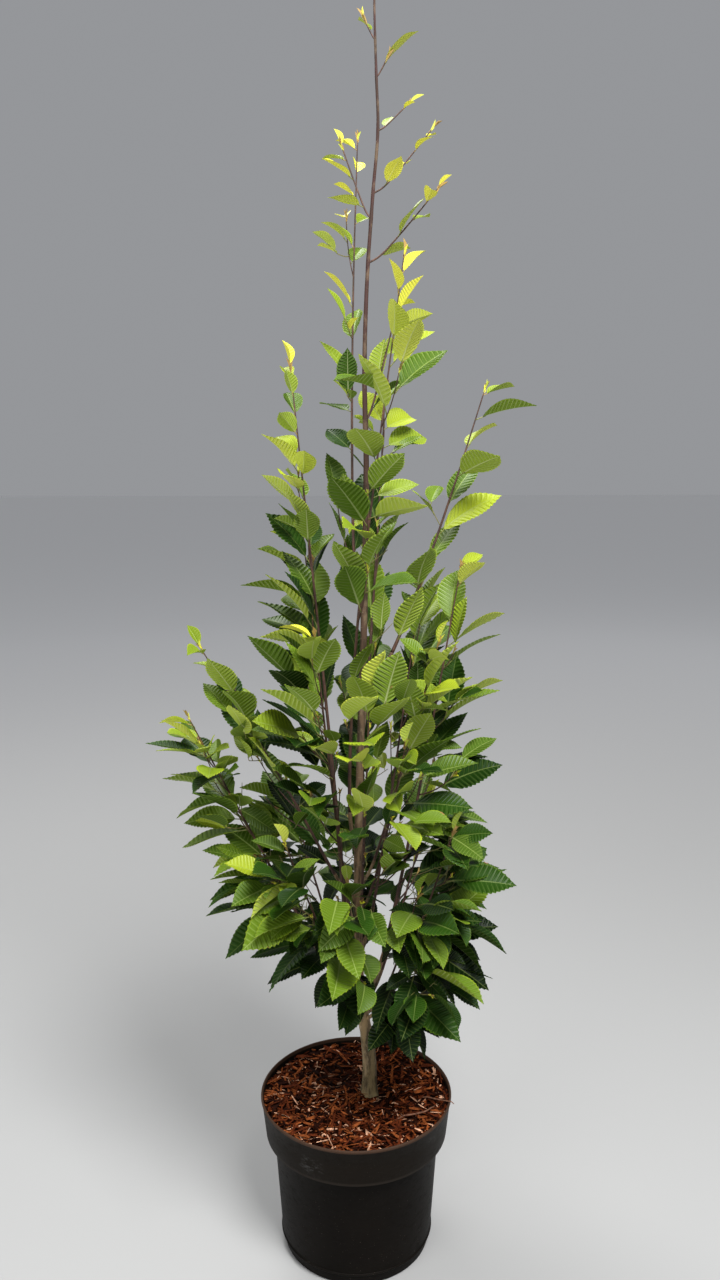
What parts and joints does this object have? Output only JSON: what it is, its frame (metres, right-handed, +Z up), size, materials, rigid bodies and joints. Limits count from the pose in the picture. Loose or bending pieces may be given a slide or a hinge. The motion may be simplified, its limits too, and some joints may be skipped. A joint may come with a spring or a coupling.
{
  "type": "potted fastigiate hornbeam tree",
  "caption": "Young columnar hornbeam in full summer leaf, one trunk with steep boughs and pleated oval leaves, standing in a round nursery pot topped with bark mulch.",
  "frame": {"origin": "centre of the pot's flat underside", "axes": "+Z up along the trunk, -Y the side that the picture shows, +X to the right in the picture"},
  "size_m": [0.5003, 0.4241, 1.7009],
  "materials": {
    "pot": "satin black-brown polypropylene with pale scuffs",
    "compost": "damp dark compost",
    "bark_mulch": "rough chipped bark in red-brown and tan",
    "trunk_bark": "smooth grey-olive young bark",
    "bough_bark": "smooth grey-brown to wine-brown young bark",
    "foliage": "pleated leaves, mid to dark green with lighter young leaves"
  },
  "bodies": {
    "root": {"pot": "pot", "compost": "compost", "bark_mulch": "bark_mulch", "trunk": "trunk_bark", "bough_back_left_mid": "bough_bark", "bough_back_mid": "bough_bark", "bough_back_right_mid": "bough_bark", "bough_back_tall": "bough_bark", "bough_front_left_mid": "bough_bark", "bough_front_mid": "bough_bark", "bough_front_right_mid": "bough_bark", "bough_front_tall": "bough_bark", "bough_left_low": "bough_bark", "bough_left_mid": "bough_bark", "bough_left_tall": "bough_bark", "bough_left_upright": "bough_bark", "bough_low_back": "bough_bark", "bough_low_back_left": "bough_bark", "bough_low_back_right": "bough_bark", "bough_low_front": "bough_bark", "bough_low_front_left": "bough_bark", "bough_low_front_right": "bough_bark", "bough_right_inner": "bough_bark", "bough_right_low": "bough_bark", "bough_right_mid": "bough_bark", "bough_right_tall": "bough_bark", "foliage_back_left_mid": "foliage", "foliage_back_mid": "foliage", "foliage_back_right_mid": "foliage", "foliage_back_tall": "foliage", "foliage_front_left_mid": "foliage", "foliage_front_mid": "foliage", "foliage_front_right_mid": "foliage", "foliage_front_tall": "foliage", "foliage_leader_tip": "foliage", "foliage_left_low": "foliage", "foliage_left_mid": "foliage", "foliage_left_tall": "foliage", "foliage_left_upright": "foliage", "foliage_low_back": "foliage", "foliage_low_back_left": "foliage", "foliage_low_back_right": "foliage", "foliage_low_front": "foliage", "foliage_low_front_left": "foliage", "foliage_low_front_right": "foliage", "foliage_right_inner": "foliage", "foliage_right_low": "foliage", "foliage_right_mid": "foliage", "foliage_right_tall": "foliage", "foliage_spur_high_front": "foliage", "foliage_spur_high_left": "foliage", "foliage_spur_high_right": "foliage", "foliage_spur_right": "foliage", "foliage_twig_left": "foliage", "foliage_twig_right_low": "foliage", "foliage_twig_right_mid": "foliage", "foliage_twig_right_top": "foliage"}
  },
  "joints": []
}
